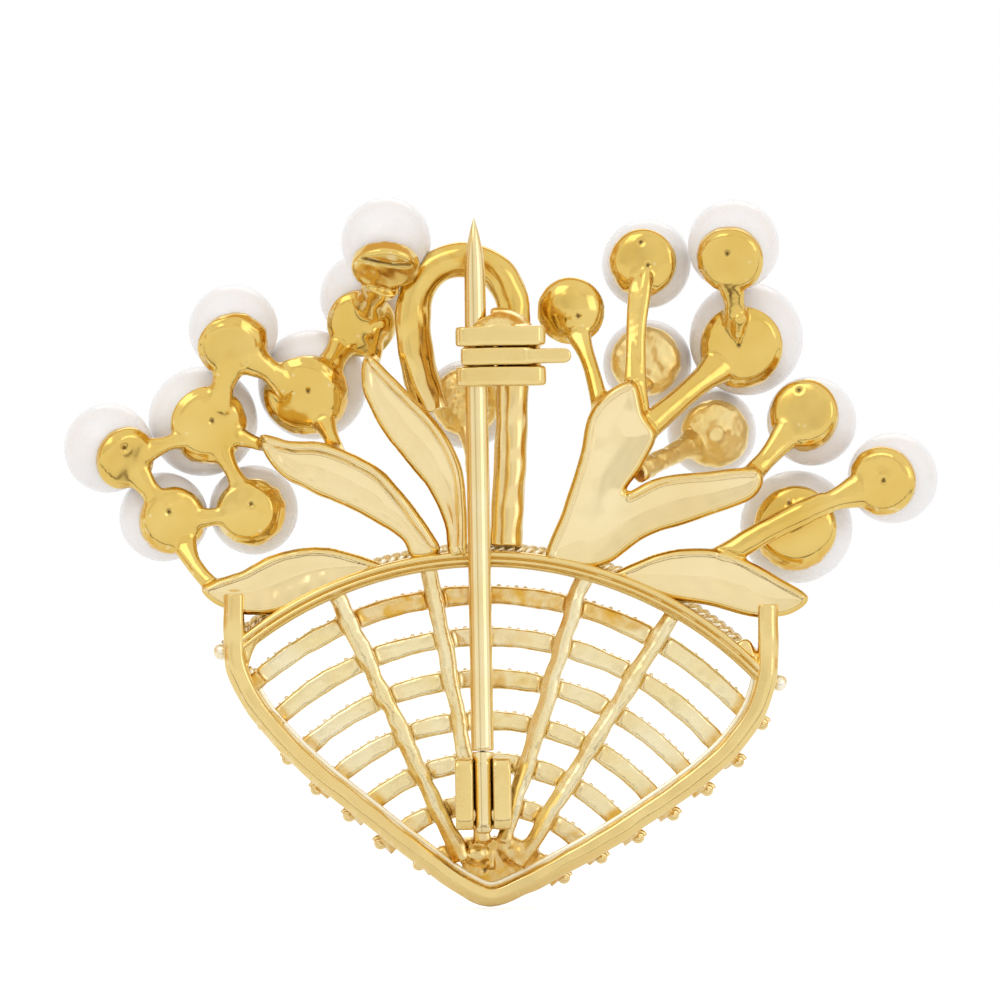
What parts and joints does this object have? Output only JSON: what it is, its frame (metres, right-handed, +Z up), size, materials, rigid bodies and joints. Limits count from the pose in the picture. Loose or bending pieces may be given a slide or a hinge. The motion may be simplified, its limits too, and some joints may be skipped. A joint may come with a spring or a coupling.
{
  "type": "brooch",
  "caption": "Flower-basket brooch: openwork gilt basket with arched handle, cast leaves and pearl sprays, with a sprung pin stem on a riveted hinge and a turning safety catch",
  "frame": {"origin": "on the axis of the pin stem, part way up its free span between the hinge and the catch", "axes": "+X across the brooch, to the right when its back is seen; +Y from the back (pin side) to the front (pearl side); +Z up the basket handle. The pin leans 0.95 degrees from +Z towards -X"},
  "size_m": [0.0437, 0.0122, 0.0354],
  "materials": {
    "cast_gold": "highly polished yellow-gold plate over cast silver",
    "findings_gold": "polished yellow-gold plate with fine brushed flats",
    "pin_gold": "drawn wire, gold plated and polished along its length",
    "pearl": "white pearl lustre with a faint pink and cream overtone"
  },
  "bodies": {
    "brooch": {"basket_frame": "cast_gold", "rim_rail": "cast_gold", "rim_rope": "cast_gold", "apex_pocket": "cast_gold", "handle_arch": "cast_gold", "bar_1": "cast_gold", "bar_2": "cast_gold", "bar_3": "cast_gold", "bar_4": "cast_gold", "bar_5": "cast_gold", "bar_6": "cast_gold", "bar_7": "cast_gold", "rib_1": "cast_gold", "rib_2": "cast_gold", "rib_3": "cast_gold", "rib_4": "cast_gold", "upper_left_leaf": "cast_gold", "middle_left_leaf": "cast_gold", "lower_left_leaf": "cast_gold", "right_blade_leaf": "cast_gold", "lower_right_leaf": "cast_gold", "left_spray": "cast_gold", "upper_spray": "cast_gold", "centre_spray": "cast_gold", "bud_stem": "cast_gold", "inner_stems": "cast_gold", "tall_stem": "cast_gold", "short_stem": "cast_gold", "outer_stem": "cast_gold", "side_spray": "cast_gold", "pearl_a": "pearl", "pearl_b": "pearl", "pearl_c": "pearl", "pearl_d": "pearl", "pearl_e": "pearl", "pearl_f": "pearl", "pearl_g": "pearl", "pearl_h": "pearl", "pearl_s": "pearl", "pearl_i": "pearl", "pearl_j": "pearl", "pearl_k": "pearl", "pearl_l": "pearl", "pearl_m": "pearl", "pearl_n": "pearl", "pearl_o": "pearl", "pearl_p": "pearl", "pearl_q": "pearl", "hinge_joint": "findings_gold", "hinge_rivet": "findings_gold", "catch_body": "findings_gold"},
    "knuckle": {"pin_knuckle": "pin_gold"},
    "stem": {"pin_stem": "pin_gold"},
    "rotor": {"catch_rotor": "findings_gold"}
  },
  "joints": [
    {"name": "pin_swing", "type": "hinge", "parent": "brooch", "child": "knuckle", "pos_m": [0.00019, 0, -0.0112], "axis": [0.9999, 0, 0.0166], "range_deg": [0, 90]},
    {"name": "pin_spring", "type": "hinge", "parent": "knuckle", "child": "stem", "pos_m": [0.00013, 0, -0.008], "axis": [0, -1, 0], "range_deg": [0, 7], "stiffness_Nm_per_rad": 0.2},
    {"name": "catch_turn", "type": "hinge", "parent": "brooch", "child": "rotor", "pos_m": [-0.00019, 0, 0.01165], "axis": [0.0166, 0, -0.9999], "range_deg": [0, 100]}
  ]
}
